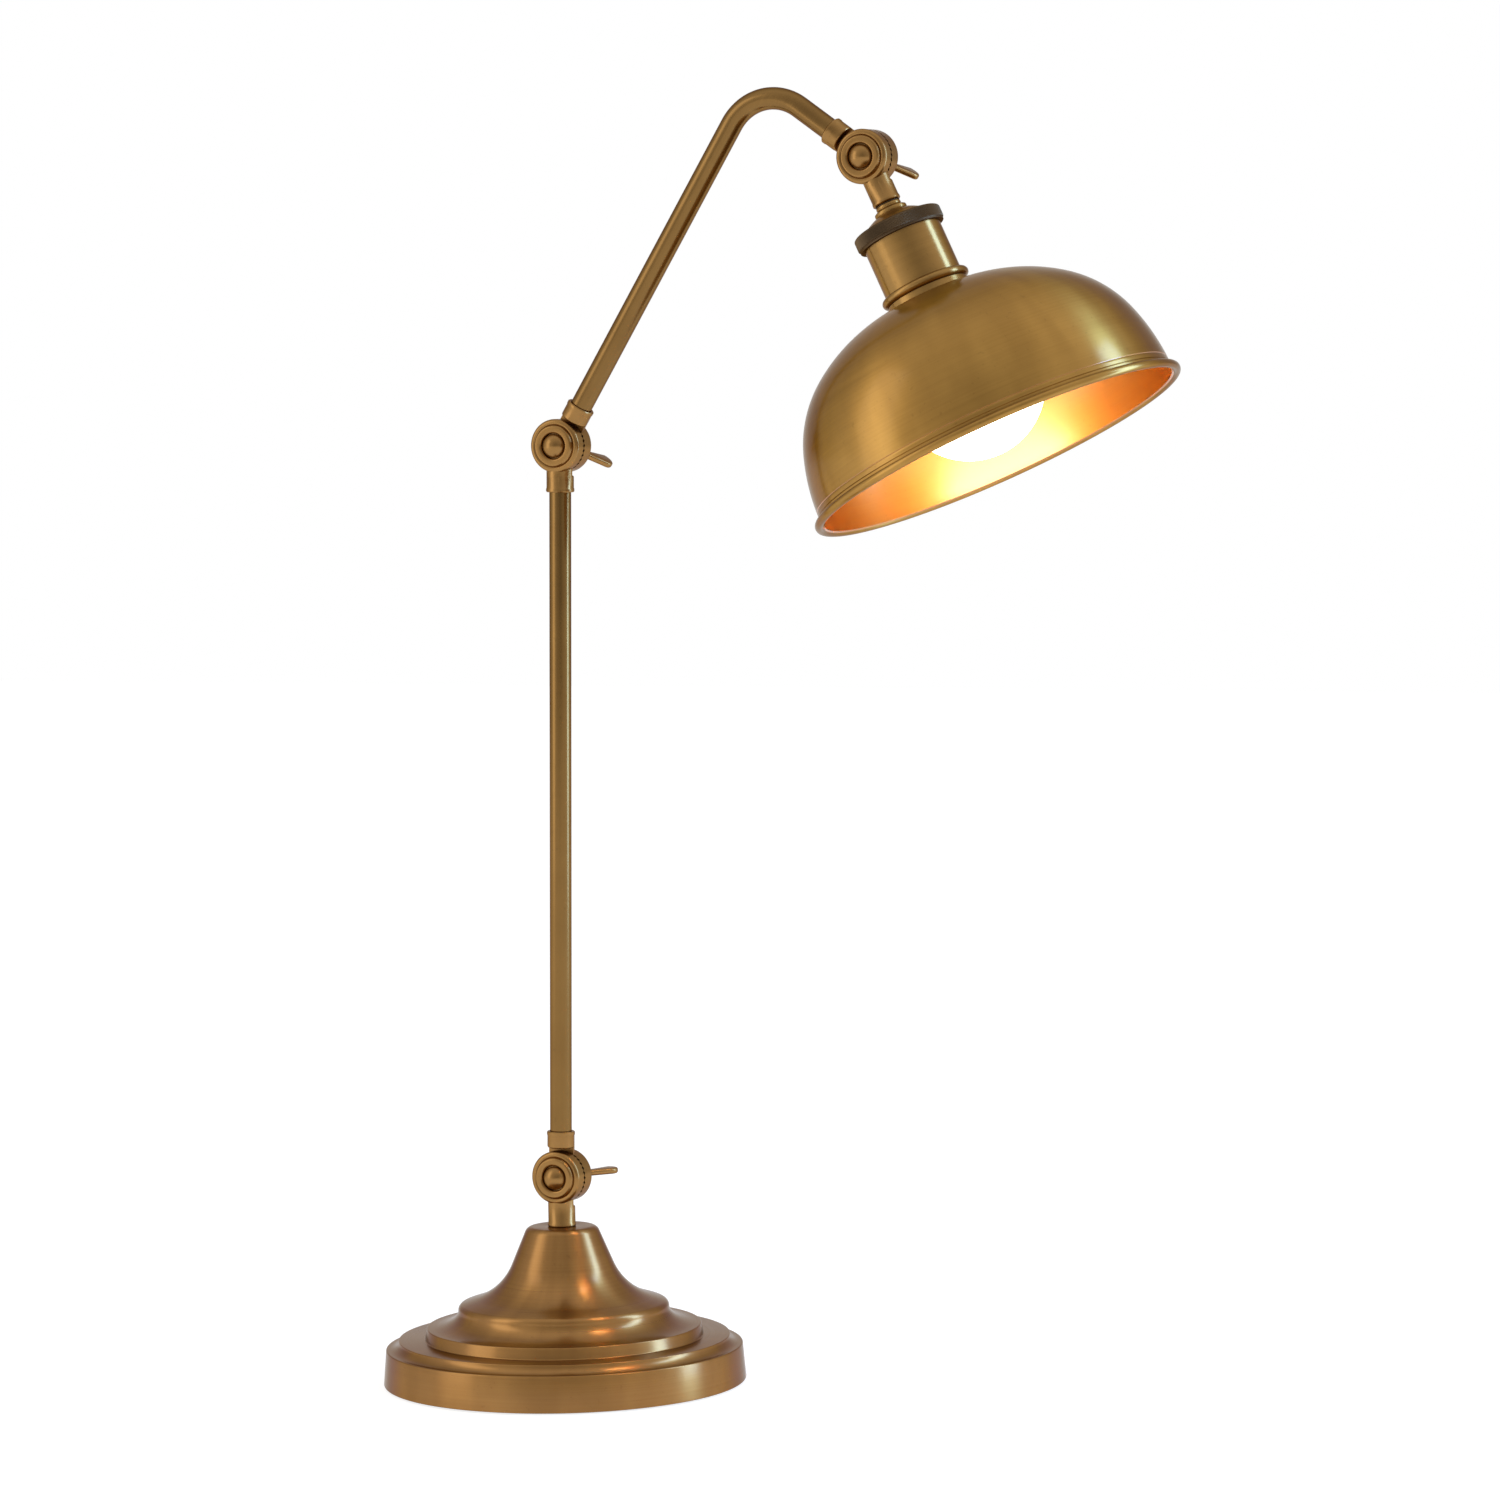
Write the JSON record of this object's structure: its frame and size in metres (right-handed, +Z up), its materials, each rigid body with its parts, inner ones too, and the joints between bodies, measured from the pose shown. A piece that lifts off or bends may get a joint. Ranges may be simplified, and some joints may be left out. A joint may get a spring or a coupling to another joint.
{
  "type": "desk lamp",
  "caption": "Desk lamp: a stepped round base, a post and a bent arm on toothed knuckles with wing nuts, a lampholder and a spun dome shade with a globe bulb.",
  "frame": {"origin": "centre of the base's underside, where the felt meets the table", "axes": "+Z up; +X from the post towards the shade; -Y the side of the domed bolt heads, +Y that of the wing nuts"},
  "size_m": [0.4645, 0.2096, 0.7049],
  "materials": {
    "antique_brass": "antique, lightly brushed and lacquered",
    "dark_brass": "dark patina",
    "bright_brass": "plain",
    "steel": "zinc plated",
    "cast_iron": "as cast, painted black",
    "felt": "felt",
    "rubber": "matt",
    "ceramic": "glazed",
    "lead_braid": "braided",
    "opal_glass": "opal",
    "black_glass": "black"
  },
  "bodies": {
    "base": {"base_shell": "antique_brass", "base_weight": "cast_iron", "base_plate": "steel", "plate_screws": "steel", "felt_pad": "felt", "base_rod": "steel", "rod_nut": "steel", "rod_washer": "steel", "cord_grommet": "rubber", "cord_clamp": "steel", "clamp_screws": "steel", "terminal_block": "ceramic", "base_lead": "lead_braid", "base_knuckle_front": "antique_brass", "base_knuckle_bolt": "antique_brass"},
    "post": {"base_knuckle_back": "antique_brass", "post_tube": "antique_brass", "elbow_front": "antique_brass", "elbow_bolt": "antique_brass", "post_lead": "lead_braid"},
    "arm": {"elbow_back": "antique_brass", "arm_tube": "antique_brass", "head_knuckle_back": "antique_brass", "arm_lead": "lead_braid"},
    "head": {"head_knuckle_front": "antique_brass", "head_knuckle_bolt": "antique_brass", "head_rod": "steel", "neck_ring": "dark_brass", "cap_nut": "steel", "lampholder_cap": "antique_brass", "knurled_ring": "dark_brass", "lampholder_shell": "antique_brass", "lampholder_core": "ceramic", "screw_shell": "bright_brass", "centre_contact": "bright_brass", "terminal_screws": "bright_brass", "head_lead": "lead_braid", "shade_collar": "antique_brass", "shade": "antique_brass", "shade_ring": "ceramic", "bulb_glass": "opal_glass", "bulb_cap": "bright_brass", "bulb_contact": "black_glass"},
    "base_washer": {"base_knuckle_washer": "antique_brass"},
    "base_nut": {"base_wing_nut": "antique_brass"},
    "elbow_clamp_washer": {"elbow_washer": "antique_brass"},
    "elbow_nut": {"elbow_wing_nut": "antique_brass"},
    "head_washer": {"head_knuckle_washer": "antique_brass"},
    "head_nut": {"head_wing_nut": "antique_brass"}
  },
  "joints": [
    {"name": "base_tilt", "type": "hinge", "parent": "base", "child": "post", "pos_m": [0, 0, 0.1137], "axis": [0, 1, 0], "range_deg": [-60, 60]},
    {"name": "elbow_tilt", "type": "hinge", "parent": "post", "child": "arm", "pos_m": [0.00912, 0, 0.5156], "axis": [0, 1, 0], "range_deg": [-90, 60]},
    {"name": "head_tilt", "type": "hinge", "parent": "arm", "child": "head", "pos_m": [0.19475, 0, 0.66613], "axis": [0, 1, 0], "range_deg": [-90, 40]},
    {"name": "base_washer_slide", "type": "slide", "parent": "base", "child": "base_washer", "axis": [0, 1, 0], "range_m": [0, 0.00101]},
    {"name": "base_nut_turn", "type": "hinge", "parent": "base_washer", "child": "base_nut", "pos_m": [0, 0, 0.1137], "axis": [0, 1, 0], "range_deg": [0, 360]},
    {"name": "elbow_washer_slide", "type": "slide", "parent": "post", "child": "elbow_clamp_washer", "axis": [0, 1, 0], "range_m": [0, 0.00101]},
    {"name": "elbow_nut_turn", "type": "hinge", "parent": "elbow_clamp_washer", "child": "elbow_nut", "pos_m": [0.00912, 0, 0.5156], "axis": [0, 1, 0], "range_deg": [0, 360]},
    {"name": "head_washer_slide", "type": "slide", "parent": "head", "child": "head_washer", "axis": [0, 1, 0], "range_m": [0, 0.00101]},
    {"name": "head_nut_turn", "type": "hinge", "parent": "head_washer", "child": "head_nut", "pos_m": [0.19475, 0, 0.66613], "axis": [0, 1, 0], "range_deg": [0, 360]}
  ],
  "couplings": [
    {"joint": "base_washer_slide", "follows": "base_nut_turn", "m_per_rad": 0.00015915},
    {"joint": "elbow_washer_slide", "follows": "elbow_nut_turn", "m_per_rad": 0.00015915},
    {"joint": "head_washer_slide", "follows": "head_nut_turn", "m_per_rad": 0.00015915}
  ]
}
